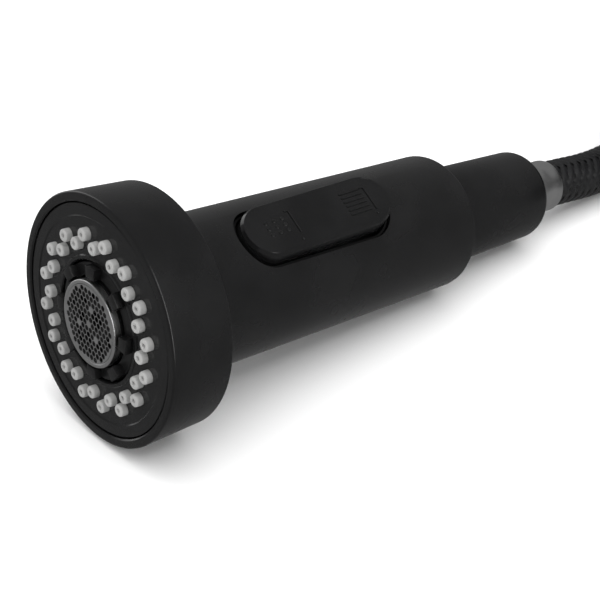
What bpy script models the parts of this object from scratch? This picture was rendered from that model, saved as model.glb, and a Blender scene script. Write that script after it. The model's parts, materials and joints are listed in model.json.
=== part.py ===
"""Pull-down kitchen spray head with a braided hose, as an assembly of its real pieces.

The head lies on a floor at z = 0, as it would on a worktop: its bell and the rear edge of its
handle touch the floor. The spray face looks towards -Y and the hose leaves towards +Y.

Every piece of the head is modelled in the tool frame, whose Z runs along the head's axis from the
front of the bell (station 0) to the hose, and whose X points out through the middle of the rocker.
An empty then lays the tool frame down. The hose is modelled on the floor, from the ferrule's mouth.
"""

import math

import bmesh
import bpy
from mathutils import Matrix, Vector

MM = 0.001
CLEAR = 0.3 * MM  # gap between neighbouring pieces
SEAL_CLEAR = 0.2 * MM  # gap round an O-ring in its groove
STEPS = 40  # sides of the large turned pieces
SMALL_STEPS = 16

# Outer shell: bell and handle
BELL_R = 27.5 * MM
BELL_TAPER = 0.4 * MM
BELL_LENGTH = 15.0 * MM
BELL_WALL = 2.1 * MM
EDGE = 0.4 * MM  # chamfer on the bell's edges
HANDLE_R = 17.75 * MM
HANDLE_WALL = 2.15 * MM
HANDLE_END = 102.7 * MM
HANDLE_EDGE_R = 0.8 * MM
INNER_CORNER_R = 0.6 * MM

# Rear collar and what comes out of it
COLLAR_R = 13.2 * MM
COLLAR_TAPER = 0.6 * MM
COLLAR_LENGTH = 39.2 * MM
COLLAR_WALL = 2.2 * MM
COLLAR_END_R = 2.5 * MM
COLLAR_SEAT = 1.0 * MM  # depth of the counterbore that takes the collar's front end
HOSE_R = 7.0 * MM
FERRULE_WALL = 0.6 * MM  # how far the ferrule stands out over the hose
FERRULE_SHOWS = 13.8 * MM
FERRULE_HIDDEN = 18.5 * MM
MOUTH_CLEAR = 0.4 * MM

# Spray face
FACE_STATION = 0.4 * MM
FACE_THICK = 2.0 * MM
SKIRT_WALL = 1.1 * MM
SKIRT_END = 8.0 * MM
NOZZLE_R = 1.45 * MM
NOZZLE_TIP = -0.9 * MM
NOZZLE_BORE_R = 0.5 * MM
NOZZLES_PER_RING = 16
INNER_RING_R = 16.8 * MM
OUTER_RING_R = 18.9 * MM
INNER_RING_TURN = 13.0  # degrees, from the rocker's side
OUTER_RING_TURN = 1.8
MAT_THICK = 1.3 * MM
MAT_BORDER = 0.6 * MM
SPRAY_PLATE_THICK = 1.7 * MM
FEED_HOLE_R = 0.9 * MM
CHAMBER_WALL = 1.0 * MM
CHAMBER_SEAL_R = 0.5 * MM

# Aerator
AERATOR_R = 9.5 * MM
AERATOR_FRONT = -1.4 * MM
AERATOR_RING_WALL = 1.3 * MM
AERATOR_RING_LENGTH = 1.7 * MM
SCREEN_THICK = 0.8 * MM
SCREEN_PITCH = 2.3 * MM
SCREEN_WEB = 0.35 * MM
CORE_END = 10.3 * MM
HOUSING_WALL = 2.5 * MM
HOUSING_FACE = 0.8 * MM
MERLON_COUNT = 8
MERLON_TURN = 11.5  # degrees, from the rocker's side
MERLON_TOP = -1.0 * MM
MERLON_WIDTH = 3.2 * MM
RECESS_GAP = 0.4 * MM

# Diverter body inside the bell and handle
FLANGE_FRONT = 9.5 * MM
HUB_WALL = 1.6 * MM
HUB_BORE_END = 16.0 * MM
FRONT_LAND_END = 22.0 * MM
WATERWAY_R = 9.3 * MM
SPOOL_BORE_R = 5.7 * MM
SPOOL_BORE_FRONT = 36.0 * MM
PASSAGE_R = 4.0 * MM
REAR_LAND = 4.7 * MM

# Rocker, its pin and the diverter spool
ROCKER_STATION = 52.5 * MM
ROCKER_HALF_LENGTH = 20.8 * MM
ROCKER_HALF_WIDTH = 6.55 * MM
ROCKER_PROUD = 2.75 * MM
ROCKER_THICK = 4.9 * MM
ROCKER_CHAMFER = 0.6 * MM
ROCKER_ROLL = 33.2  # degrees from the head's top towards +X
ROCKER_TILT = 4.3  # degrees each side of level; at rest the front end is down
SEAL_WIDTH = 0.55 * MM
END_PLAY = 0.9 * MM  # room for the rocker's ends as it tips
PIN_DEPTH = 4.95 * MM  # pin below the handle's surface
PIN_R = 1.0 * MM
EAR_IN = 5.0 * MM
EAR_OUT = 6.5 * MM
LEVER_HALF_LENGTH = 13.0 * MM
LEVER_HALF_WIDTH = 4.6 * MM
LEVER_BELOW_PIN = 1.7 * MM
FINGER_HALF_WIDTH = 1.6 * MM
FINGER_HALF_THICK = 1.2 * MM
SPOOL_HALF_LENGTH = 13.0 * MM
SPOOL_GROOVE_R = 3.4 * MM
SPOOL_WATER_R = 1.8 * MM
SPOOL_SEAL_AT = 9.5 * MM
SPOOL_SEAL_R = 0.6 * MM

# Inlet end; stations run back from the handle's end
ADAPTER_FRONT = -17.7 * MM
ADAPTER_NECK_R = 10.7 * MM
ADAPTER_REAR = 15.3 * MM
VALVE_CHAMBER_R = 9.2 * MM
VALVE_CHAMBER_REAR = 0.3 * MM
SEAT_BORE_R = 4.5 * MM
SOCKET_FRONT = 3.3 * MM
SOCKET_R = 7.3 * MM
CLIP_FRONT = 10.3 * MM
CLIP_THICK = 1.2 * MM
CLIP_DEPTH = 1.0 * MM
TAIL_NECK_R = 4.6 * MM
TAIL_BORE_R = 2.6 * MM
TAIL_SEAL_R = 0.8 * MM
STEM_R = 1.2 * MM
SPRING_WIRE_R = 0.3 * MM
SPRING_R = 2.4 * MM
SPRING_TURNS = 3

# Put-away hose: a hank of three layers beside the hose's own line, on two ties
HANK_FOLD_R = 43.5 * MM
HANK_RUN = 122.0 * MM
HANK_LAYERS = 3
HANK_LIFT = 1.1 * MM  # the ties lie under the hank
HANK_LEFT_X = -13.0 * MM
HANK_START = 87.0 * MM  # from the ferrule's mouth to the start of the runs
TUBE_END = 42.0 * MM
TOP_RUN_END = 50.5 * MM  # where the top layer stops on the right run
TIE_AT = 85.0 * MM
TIE_WIDTH = 10.0 * MM
TIE_THICK = 0.8 * MM
TIE_CORNER_R = 1.2 * MM
END_FERRULE_LENGTH = 16.0 * MM
SPIGOT_LENGTH = 29.4 * MM
SPIGOT_R = 5.5 * MM

LOOKS = {  # base colour, roughness, metallic
    "satin_black": ((0.022, 0.022, 0.023), 0.38, 0.0),
    "gloss_black": ((0.012, 0.012, 0.013), 0.16, 0.0),
    "black_plastic": ((0.025, 0.025, 0.026), 0.5, 0.0),
    "grey_silicone": ((0.45, 0.45, 0.44), 0.6, 0.0),
    "white_plastic": ((0.75, 0.75, 0.73), 0.45, 0.0),
    "blue_plastic": ((0.1, 0.25, 0.55), 0.45, 0.0),
    "satin_metal": ((0.62, 0.62, 0.62), 0.32, 1.0),
    "steel": ((0.55, 0.55, 0.56), 0.25, 1.0),
    "brass": ((0.72, 0.52, 0.25), 0.3, 1.0),
    "rubber": ((0.015, 0.015, 0.015), 0.7, 0.0),
    "braid": ((0.02, 0.02, 0.021), 0.55, 0.0),
}

for leftover in list(bpy.data.objects):
    bpy.data.objects.remove(leftover, do_unlink=True)

pieces = bpy.data.collections.new("pull_down_spray_head")
cutters = bpy.data.collections.new("cutters")
for collection in (pieces, cutters):
    bpy.context.scene.collection.children.link(collection)


def make_materials():
    made = {}
    for name, (color, roughness, metallic) in LOOKS.items():
        material = bpy.data.materials.new(name)
        material.use_nodes = True
        shader = material.node_tree.nodes["Principled BSDF"]
        shader.inputs["Base Color"].default_value = (*color, 1.0)
        shader.inputs["Roughness"].default_value = roughness
        shader.inputs["Metallic"].default_value = metallic
        made[name] = material
    return made


MATERIALS = make_materials()


def empty(name, parent=None, matrix=None):
    helper = bpy.data.objects.new(name, None)
    pieces.objects.link(helper)
    helper.parent = parent
    if matrix:
        helper.matrix_local = matrix
    return helper


tool_axis = empty("tool_axis")
hose_floor = empty("hose_floor")


# Shapes ---------------------------------------------------------------------------------------


def as_piece(obj, look, parent):
    pieces.objects.link(obj)
    obj.parent = parent
    obj.data.materials.append(MATERIALS[look])
    return obj


def as_cutter(obj, parent):
    cutters.objects.link(obj)
    obj.parent = parent
    obj.hide_render = True
    obj.display_type = "WIRE"
    return obj


def arc(center_r, center_s, radius, start, end, count=3):
    """Points of an arc in the profile plane, by angle in degrees from the +radius direction."""
    turn = [math.radians(start + (end - start) * k / count) for k in range(count + 1)]
    return [(center_r + radius * math.cos(a), center_s + radius * math.sin(a)) for a in turn]


def turned(name, outline, steps=STEPS):
    """Solid of revolution about Z from (radius, station) corners; one touching the axis is open."""
    on_axis = outline[0][0] == 0.0
    area = sum(
        r0 * s1 - r1 * s0 for (r0, s0), (r1, s1) in zip(outline, outline[1:] + outline[:1])
    )
    if area > 0:  # a Screw profile runs down its outer side
        outline = outline[::-1]
    edges = [(i, i + 1) for i in range(len(outline) - 1)]
    if not on_axis:
        edges.append((len(outline) - 1, 0))
    mesh = bpy.data.meshes.new(name)
    mesh.from_pydata([(r, 0.0, s) for r, s in outline], edges, [])
    obj = bpy.data.objects.new(name, mesh)
    screw = obj.modifiers.new("turn", "SCREW")
    screw.steps = screw.render_steps = steps
    screw.use_merge_vertices = True
    screw.merge_threshold = 0.00001
    return obj


def from_bmesh(name, shape):
    mesh = bpy.data.meshes.new(name)
    bmesh.ops.recalc_face_normals(shape, faces=shape.faces)
    shape.to_mesh(mesh)
    shape.free()
    return bpy.data.objects.new(name, mesh)


def box(name, low, high):
    shape = bmesh.new()
    size = Vector(high) - Vector(low)
    middle = (Vector(high) + Vector(low)) / 2
    placed = Matrix.Translation(middle) @ Matrix.Diagonal((*size, 1.0))
    bmesh.ops.create_cube(shape, size=1.0, matrix=placed)
    return from_bmesh(name, shape)


def rods(name, radius, low, high, places, sides, turn=None):
    """Cylinders along Z between two stations, one at each (x, y); turn then rotates them all."""
    shape = bmesh.new()
    for x, y in places:
        bmesh.ops.create_cone(
            shape,
            cap_ends=True,
            segments=sides,
            radius1=radius,
            radius2=radius,
            depth=high - low,
            matrix=(turn or Matrix()) @ Matrix.Translation((x, y, (low + high) / 2)),
        )
    return from_bmesh(name, shape)


def meshed(name, curve):
    """The closed mesh object of a curve, with its caps welded."""
    holder = bpy.data.objects.new(name + "_curve", curve)
    pieces.objects.link(holder)
    graph = bpy.context.evaluated_depsgraph_get()
    mesh = bpy.data.meshes.new_from_object(holder.evaluated_get(graph))
    bpy.data.objects.remove(holder)
    shape = bmesh.new()
    shape.from_mesh(mesh)
    bmesh.ops.remove_doubles(shape, verts=shape.verts, dist=0.000002)
    bpy.data.meshes.remove(mesh)
    return from_bmesh(name, shape)


def prism(name, outlines, low, high):
    """Flat outline with any holes in the XY plane, from z = low to high."""
    curve = bpy.data.curves.new(name, "CURVE")
    curve.dimensions = "2D"
    curve.fill_mode = "BOTH"
    curve.extrude = (high - low) / 2
    for outline in outlines:
        spline = curve.splines.new("POLY")
        spline.points.add(len(outline) - 1)
        for point, (x, y) in zip(spline.points, outline):
            point.co = (x, y, 0.0, 1.0)
        spline.use_cyclic_u = True
    obj = meshed(name, curve)
    obj.data.transform(Matrix.Translation((0.0, 0.0, (low + high) / 2)))
    return obj


# Lays a prism's plane along the tool: its x runs across, its y along the axis, its z outward.
ALONG_TOOL = Matrix(((0, 0, 1, 0), (1, 0, 0, 0), (0, 1, 0, 0), (0, 0, 0, 1)))


def pad(name, outlines, low, high):
    obj = prism(name, outlines, low, high)
    obj.data.transform(ALONG_TOOL)
    return obj


def tube(name, points, radius, bevel_resolution=2):
    curve = bpy.data.curves.new(name, "CURVE")
    curve.dimensions = "3D"
    curve.bevel_depth = radius
    curve.bevel_resolution = bevel_resolution
    curve.use_fill_caps = True
    spline = curve.splines.new("POLY")
    spline.points.add(len(points) - 1)
    for point, place in zip(spline.points, points):
        point.co = (*place, 1.0)
    return meshed(name, curve)


def ring_seal(name, ring_r, wire_r, station, sides=16, wire_sides=6):
    """O-ring about Z."""
    section = [
        (
            ring_r + wire_r * math.cos(2 * math.pi * k / wire_sides),
            station + wire_r * math.sin(2 * math.pi * k / wire_sides),
        )
        for k in range(wire_sides)
    ]
    return turned(name, section, sides)


def combine(obj, other, operation, parent):
    as_cutter(other, parent)
    change = obj.modifiers.new(other.name, "BOOLEAN")
    change.operation = operation
    change.object = other


def stadium(half_length, half_width, center, arc_count=8):
    """Outline (across, along) with round ends."""
    straight = half_length - half_width
    points = []
    for side, start in ((1, 0.0), (-1, math.pi)):
        for k in range(arc_count + 1):
            a = start + math.pi * k / arc_count
            along = center + side * straight + half_width * math.sin(a)
            points.append((half_width * math.cos(a), along))
    return points


def circle(radius, count, center=(0.0, 0.0), turn=0.0):
    return [
        (
            center[0] + radius * math.cos(turn + 2 * math.pi * k / count),
            center[1] + radius * math.sin(turn + 2 * math.pi * k / count),
        )
        for k in range(count)
    ]


def ring_places(radius, count, turn_deg):
    return circle(radius, count, turn=math.radians(turn_deg))


# Stations and radii that follow from the driving sizes ------------------------------------------

BELL_BORE_R = BELL_R - BELL_WALL
HANDLE_BORE_R = HANDLE_R - HANDLE_WALL
SHELL_NECK_R = ADAPTER_NECK_R + CLEAR
COLLAR_END = HANDLE_END + CLEAR + COLLAR_LENGTH
FERRULE_R = HOSE_R + FERRULE_WALL
FERRULE_END = COLLAR_END + FERRULE_SHOWS
FERRULE_START = COLLAR_END - FERRULE_HIDDEN
COLLAR_MOUTH_R = FERRULE_R + MOUTH_CLEAR
HOUSING_BORE_R = AERATOR_R + RECESS_GAP
HOUSING_R = HOUSING_BORE_R + HOUSING_WALL + 0.4 * MM
HOUSING_THREAD_R = HOUSING_BORE_R + HOUSING_WALL
HOUSING_REAR = HUB_BORE_END - 4.0 * MM
RECESS_R = HOUSING_R + RECESS_GAP
HUB_BORE_R = HOUSING_THREAD_R + CLEAR
HUB_R = HUB_BORE_R + HUB_WALL
FACE_R = BELL_BORE_R - CLEAR
FACE_REAR = FACE_STATION + FACE_THICK
MAT_FRONT = FACE_REAR + CLEAR
MAT_REAR = MAT_FRONT + MAT_THICK
SPRAY_PLATE_FRONT = MAT_REAR + CLEAR
SPRAY_PLATE_REAR = SPRAY_PLATE_FRONT + SPRAY_PLATE_THICK
SPRAY_PLATE_R = FACE_R - SKIRT_WALL - CLEAR
CHAMBER_SEAL_AT = FLANGE_FRONT - CHAMBER_SEAL_R - SEAL_CLEAR
CHAMBER_WALL_END = CHAMBER_SEAL_AT - CHAMBER_SEAL_R - SEAL_CLEAR
LAND_R = HANDLE_BORE_R - CLEAR
BODY_END = HANDLE_END + ADAPTER_FRONT - CLEAR
PIN_X = HANDLE_R - PIN_DEPTH
ROCKER_TOP = HANDLE_R + ROCKER_PROUD
ROCKER_BOTTOM = ROCKER_TOP - ROCKER_THICK
SEAL_IN_WIDTH = ROCKER_HALF_WIDTH + CLEAR
SEAL_IN_LENGTH = ROCKER_HALF_LENGTH + END_PLAY
WINDOW_WIDTH = SEAL_IN_WIDTH + SEAL_WIDTH + CLEAR
WINDOW_LENGTH = SEAL_IN_LENGTH + SEAL_WIDTH + CLEAR
FINGER_TIP = SPOOL_GROOVE_R + 0.5 * MM
SPOOL_R = SPOOL_BORE_R - 0.4 * MM
FINGER_REACH = PIN_X - (FINGER_TIP + SPOOL_R) / 2
SPOOL_SHIFT = FINGER_REACH * math.tan(math.radians(ROCKER_TILT))
SPOOL_STATION = ROCKER_STATION + SPOOL_SHIFT
SPOOL_SEAL_RING_R = SPOOL_BORE_R - SPOOL_SEAL_R - SEAL_CLEAR


# Bell, handle and collar ------------------------------------------------------------------------


def outer_shell():
    corner = INNER_CORNER_R
    edge = HANDLE_EDGE_R
    outline = [
        (BELL_BORE_R, 0.0),
        (BELL_R - EDGE, 0.0),
        (BELL_R, EDGE),
        (BELL_R - BELL_TAPER, BELL_LENGTH - EDGE),
        (BELL_R - BELL_TAPER - EDGE, BELL_LENGTH),
        *arc(HANDLE_R + corner, BELL_LENGTH + corner, corner, 270, 180, 2),
        *arc(HANDLE_R - edge, HANDLE_END - edge, edge, 0, 90),
        (COLLAR_R + CLEAR, HANDLE_END),
        (COLLAR_R + CLEAR, HANDLE_END - COLLAR_SEAT),
        (SHELL_NECK_R, HANDLE_END - COLLAR_SEAT),
        (SHELL_NECK_R, HANDLE_END - HANDLE_WALL),
        (HANDLE_BORE_R, HANDLE_END - HANDLE_WALL),
        (HANDLE_BORE_R, BELL_LENGTH - BELL_WALL),
        (BELL_BORE_R, BELL_LENGTH - BELL_WALL),
    ]
    shell = as_piece(turned("outer_shell", outline), "satin_black", tool_axis)
    window = stadium(WINDOW_LENGTH, WINDOW_WIDTH, ROCKER_STATION)
    opening = pad("rocker_window", [window], HANDLE_R / 2, ROCKER_TOP)
    combine(shell, opening, "DIFFERENCE", tool_axis)


def rear_collar():
    front = HANDLE_END - COLLAR_SEAT + CLEAR
    rear_r = COLLAR_R - COLLAR_TAPER
    bore_r = ADAPTER_NECK_R + CLEAR
    rounding = arc(rear_r - COLLAR_END_R, COLLAR_END - COLLAR_END_R, COLLAR_END_R, 0, 90)
    outline = [
        (bore_r, front),
        (COLLAR_R, front),
        *rounding,
        (COLLAR_MOUTH_R, COLLAR_END),
        (COLLAR_MOUTH_R, COLLAR_END - COLLAR_WALL),
        (min(bore_r, rear_r - COLLAR_END_R), COLLAR_END - COLLAR_WALL),
        (bore_r, COLLAR_END - 3 * COLLAR_WALL),
    ]
    as_piece(turned("rear_collar", outline), "satin_black", tool_axis)


# Spray face -------------------------------------------------------------------------------------

NOZZLE_PLACES = ring_places(INNER_RING_R, NOZZLES_PER_RING, INNER_RING_TURN) + ring_places(
    OUTER_RING_R, NOZZLES_PER_RING, OUTER_RING_TURN
)


def face_plate():
    outline = [
        (RECESS_R, FACE_STATION),
        (FACE_R, FACE_STATION),
        (FACE_R, SKIRT_END),
        (FACE_R - SKIRT_WALL, SKIRT_END),
        (FACE_R - SKIRT_WALL, FACE_REAR),
        (RECESS_R, FACE_REAR),
    ]
    plate = as_piece(turned("face_plate", outline), "gloss_black", tool_axis)
    holes = rods(
        "nozzle_holes", NOZZLE_R + CLEAR, FACE_STATION - MM, FACE_REAR + MM, NOZZLE_PLACES, 8
    )
    combine(plate, holes, "DIFFERENCE", tool_axis)


def nozzle_mat():
    inner_r = max(INNER_RING_R - NOZZLE_R - MAT_BORDER, HUB_R + CLEAR)
    outer_r = OUTER_RING_R + NOZZLE_R + MAT_BORDER
    outline = [
        (inner_r, MAT_FRONT),
        (outer_r, MAT_FRONT),
        (outer_r, MAT_REAR),
        (inner_r, MAT_REAR),
    ]
    mat = as_piece(turned("nozzle_mat", outline), "grey_silicone", tool_axis)
    stubs = rods(
        "nozzle_stubs", NOZZLE_R, NOZZLE_TIP, (MAT_FRONT + MAT_REAR) / 2, NOZZLE_PLACES, 8
    )
    bores = rods(
        "nozzle_bores", NOZZLE_BORE_R, NOZZLE_TIP - MM, MAT_REAR + MM, NOZZLE_PLACES, 5
    )
    combine(mat, stubs, "UNION", tool_axis)
    combine(mat, bores, "DIFFERENCE", tool_axis)


def spray_plate():
    inner_r = HUB_R + CLEAR
    wall_in = SPRAY_PLATE_R - CHAMBER_WALL
    outline = [
        (inner_r, SPRAY_PLATE_FRONT),
        (SPRAY_PLATE_R, SPRAY_PLATE_FRONT),
        (SPRAY_PLATE_R, CHAMBER_WALL_END),
        (wall_in, CHAMBER_WALL_END),
        (wall_in, SPRAY_PLATE_REAR),
        (inner_r, SPRAY_PLATE_REAR),
    ]
    plate = as_piece(turned("spray_plate", outline, 28), "white_plastic", tool_axis)
    places = ring_places((INNER_RING_R + OUTER_RING_R) / 2, NOZZLES_PER_RING, INNER_RING_TURN)
    holes = rods(
        "feed_holes", FEED_HOLE_R, SPRAY_PLATE_FRONT - MM, SPRAY_PLATE_REAR + MM, places, 6
    )
    combine(plate, holes, "DIFFERENCE", tool_axis)


def chamber_seal():
    ring_r = SPRAY_PLATE_R - CHAMBER_WALL / 2
    seal = ring_seal("chamber_seal", ring_r, CHAMBER_SEAL_R, CHAMBER_SEAL_AT, sides=28)
    as_piece(seal, "rubber", tool_axis)


# Aerator ----------------------------------------------------------------------------------------


def aerator_housing():
    lip_r = HOUSING_BORE_R - 1.5 * MM
    lip_front = HOUSING_REAR - 1.2 * MM
    outline = [
        (HOUSING_BORE_R, HOUSING_FACE),
        (HOUSING_R, HOUSING_FACE),
        (HOUSING_R, SPRAY_PLATE_FRONT - CLEAR),
        (HOUSING_THREAD_R, SPRAY_PLATE_FRONT - CLEAR),
        (HOUSING_THREAD_R, HOUSING_REAR),
        (lip_r, HOUSING_REAR),
        (lip_r, lip_front),
        (HOUSING_BORE_R, lip_front),
    ]
    housing = as_piece(turned("aerator_housing", outline), "black_plastic", tool_axis)
    shape = bmesh.new()
    low_r, high_r = HOUSING_BORE_R + 0.6 * MM, HOUSING_R - 0.25 * MM
    low_s, high_s = MERLON_TOP, HOUSING_FACE + 0.5 * MM
    for k in range(MERLON_COUNT):
        turn = Matrix.Rotation(math.radians(MERLON_TURN + 360 * k / MERLON_COUNT), 4, "Z")
        middle = Matrix.Translation(((low_r + high_r) / 2, 0.0, (low_s + high_s) / 2))
        size = Matrix.Diagonal((high_r - low_r, MERLON_WIDTH, high_s - low_s, 1.0))
        bmesh.ops.create_cube(shape, size=1.0, matrix=turn @ middle @ size)
    combine(housing, from_bmesh("merlons", shape), "UNION", tool_axis)


def aerator_ring():
    inner_r = AERATOR_R - AERATOR_RING_WALL
    rear = AERATOR_FRONT + AERATOR_RING_LENGTH
    outline = [
        (inner_r, AERATOR_FRONT),
        (AERATOR_R - EDGE, AERATOR_FRONT),
        (AERATOR_R, AERATOR_FRONT + EDGE),
        (AERATOR_R, rear),
        (inner_r, rear),
    ]
    as_piece(turned("aerator_ring", outline), "satin_metal", tool_axis)


def aerator_screen():
    """Disc with whole hexagonal cells on a triangular grid."""
    screen_r = AERATOR_R - AERATOR_RING_WALL - CLEAR
    cell_r = (SCREEN_PITCH - SCREEN_WEB) / math.sqrt(3)
    reach = int(screen_r / SCREEN_PITCH) + 1
    holes = []
    for row in range(-reach, reach + 1):
        for column in range(-reach, reach + 1):
            x = SCREEN_PITCH * (column + row / 2)
            y = SCREEN_PITCH * row * math.sqrt(3) / 2
            if math.hypot(x, y) + cell_r < screen_r - SCREEN_WEB:
                holes.append(circle(cell_r, 6, (x, y), math.pi / 6))
    front = AERATOR_FRONT + 0.1 * MM
    screen = prism("aerator_screen", [circle(screen_r, 24), *holes], front, front + SCREEN_THICK)
    as_piece(screen, "satin_metal", tool_axis)


def aerator_core():
    front = AERATOR_FRONT + AERATOR_RING_LENGTH + CLEAR
    core = turned(
        "aerator_core",
        [(2 * MM, front), (AERATOR_R, front), (AERATOR_R, CORE_END), (2 * MM, CORE_END)],
        24,
    )
    as_piece(core, "black_plastic", tool_axis)
    places = ring_places(AERATOR_R * 0.6, 8, 0.0)
    holes = rods("core_holes", 1.2 * MM, front - MM, CORE_END + MM, places, 8)
    combine(core, holes, "DIFFERENCE", tool_axis)


def aerator_gasket():
    front = HOUSING_REAR + CLEAR
    rear = front + 1.6 * MM
    inner_r = HOUSING_BORE_R - 1.5 * MM
    outline = [
        (inner_r, front),
        (HOUSING_THREAD_R, front),
        (HOUSING_THREAD_R, rear),
        (inner_r, rear),
    ]
    as_piece(turned("aerator_gasket", outline, 28), "rubber", tool_axis)


# Diverter body, rocker and spool ----------------------------------------------------------------


def diverter_body():
    """Waterway moulding: hub for the aerator, flange in the bell, lands in the handle, two ears."""
    flange_rear = BELL_LENGTH - BELL_WALL - CLEAR
    outline = [
        (HUB_BORE_R, SPRAY_PLATE_FRONT),
        (HUB_R, SPRAY_PLATE_FRONT),
        (HUB_R, FLANGE_FRONT),
        (BELL_BORE_R - CLEAR, FLANGE_FRONT),
        (BELL_BORE_R - CLEAR, flange_rear),
        (LAND_R, flange_rear),
        (LAND_R, FRONT_LAND_END),
        (WATERWAY_R, FRONT_LAND_END),
        (WATERWAY_R, BODY_END - REAR_LAND),
        (LAND_R, BODY_END - REAR_LAND),
        (LAND_R, BODY_END),
        (SPOOL_BORE_R, BODY_END),
        (SPOOL_BORE_R, SPOOL_BORE_FRONT),
        (PASSAGE_R, SPOOL_BORE_FRONT),
        (PASSAGE_R, HUB_BORE_END),
        (HUB_BORE_R, HUB_BORE_END),
    ]
    body = as_piece(turned("diverter_body", outline, 32), "black_plastic", tool_axis)
    ear_top = PIN_X + 1.8 * MM
    for name, side in (("ear_left", 1), ("ear_right", -1)):
        across = sorted((side * EAR_IN, side * EAR_OUT))
        low = (WATERWAY_R * 0.65, across[0], ROCKER_STATION - 3 * MM)
        high = (ear_top, across[1], ROCKER_STATION + 3 * MM)
        combine(body, box(name, low, high), "UNION", tool_axis)
    slot_low = (SPOOL_GROOVE_R, -FINGER_HALF_WIDTH - 0.7 * MM, ROCKER_STATION - 4.5 * MM)
    slot_high = (WATERWAY_R + MM, FINGER_HALF_WIDTH + 0.7 * MM, ROCKER_STATION + 4.5 * MM)
    combine(body, box("finger_slot", slot_low, slot_high), "DIFFERENCE", tool_axis)
    pin_hole = cross_rod("ear_bores", PIN_R + CLEAR, EAR_OUT + MM, PIN_X, 12)
    combine(body, pin_hole, "DIFFERENCE", tool_axis)


def cross_rod(name, radius, half_length, height, sides, station=ROCKER_STATION):
    """Cylinder across the tool, along Y."""
    across = Matrix.Translation((height, 0.0, station)) @ Matrix.Rotation(math.pi / 2, 4, "X")
    return rods(name, radius, -half_length, half_length, [(0.0, 0.0)], sides, across)


def rocker_seal():
    """Thin frame in the handle's window, its top following the handle's surface."""
    outer = stadium(SEAL_IN_LENGTH + SEAL_WIDTH, SEAL_IN_WIDTH + SEAL_WIDTH, ROCKER_STATION)
    inner = stadium(SEAL_IN_LENGTH, SEAL_IN_WIDTH, ROCKER_STATION)
    low = PIN_X + 0.2 * MM
    frame = as_piece(pad("rocker_seal", [outer, inner], low, ROCKER_TOP), "rubber", tool_axis)
    trim = rods(
        "seal_trim", HANDLE_R, BELL_LENGTH, HANDLE_END, [(0.0, 0.0)], STEPS
    )
    combine(frame, trim, "INTERSECT", tool_axis)


def rocker_group():
    """Button and lever, modelled level and then tipped about the pin."""
    rest = Matrix.Rotation(math.radians(ROCKER_TILT), 4, "Y")
    at_pin = Matrix.Translation((PIN_X, 0.0, ROCKER_STATION))
    pivot = empty("rocker_pivot", tool_axis, at_pin @ rest)

    outline = stadium(ROCKER_HALF_LENGTH, ROCKER_HALF_WIDTH, 0.0)
    button = pad("rocker_button", [outline], ROCKER_BOTTOM - PIN_X, ROCKER_TOP - PIN_X)
    as_piece(button, "gloss_black", pivot)
    chamfer = button.modifiers.new("chamfer", "BEVEL")
    chamfer.width = ROCKER_CHAMFER
    chamfer.segments = 1
    chamfer.limit_method = "ANGLE"
    chamfer.angle_limit = math.radians(60)

    low = (-LEVER_BELOW_PIN, -LEVER_HALF_WIDTH, -LEVER_HALF_LENGTH)
    high = (ROCKER_BOTTOM - PIN_X - CLEAR, LEVER_HALF_WIDTH, LEVER_HALF_LENGTH)
    lever = as_piece(box("rocker_lever", low, high), "black_plastic", pivot)
    low = (FINGER_TIP - PIN_X, -FINGER_HALF_WIDTH, -FINGER_HALF_THICK)
    high = (0.0, FINGER_HALF_WIDTH, FINGER_HALF_THICK)
    combine(lever, box("lever_finger", low, high), "UNION", pivot)
    hole = cross_rod("lever_bore", PIN_R + CLEAR, LEVER_HALF_WIDTH + MM, 0.0, 12, 0.0)
    combine(lever, hole, "DIFFERENCE", pivot)

    pin = cross_rod("rocker_pin", PIN_R, EAR_OUT, PIN_X, 12)
    as_piece(pin, "steel", tool_axis)


def diverter_spool():
    groove = FINGER_HALF_THICK + 0.5 * MM
    seal_half = SPOOL_SEAL_R + SEAL_CLEAR
    seal_floor = SPOOL_SEAL_RING_R - SPOOL_SEAL_R - SEAL_CLEAR
    outer = [(SPOOL_R, -SPOOL_HALF_LENGTH)]
    for middle, half, floor in (
        (-SPOOL_SEAL_AT, seal_half, seal_floor),
        (0.0, groove, SPOOL_GROOVE_R),
        (SPOOL_SEAL_AT, seal_half, seal_floor),
    ):
        outer += [
            (SPOOL_R, middle - half),
            (floor, middle - half),
            (floor, middle + half),
            (SPOOL_R, middle + half),
        ]
    outer.append((SPOOL_R, SPOOL_HALF_LENGTH))
    inner = [(SPOOL_WATER_R, SPOOL_HALF_LENGTH), (SPOOL_WATER_R, -SPOOL_HALF_LENGTH)]
    outline = [(r, SPOOL_STATION + s) for r, s in outer + inner]
    as_piece(turned("diverter_spool", outline, SMALL_STEPS), "blue_plastic", tool_axis)
    for name, side in (("spool_o_ring_front", -1), ("spool_o_ring_rear", 1)):
        station = SPOOL_STATION + side * SPOOL_SEAL_AT
        as_piece(ring_seal(name, SPOOL_SEAL_RING_R, SPOOL_SEAL_R, station), "rubber", tool_axis)


# Inlet end --------------------------------------------------------------------------------------


def from_end(station):
    return HANDLE_END + station


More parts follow.
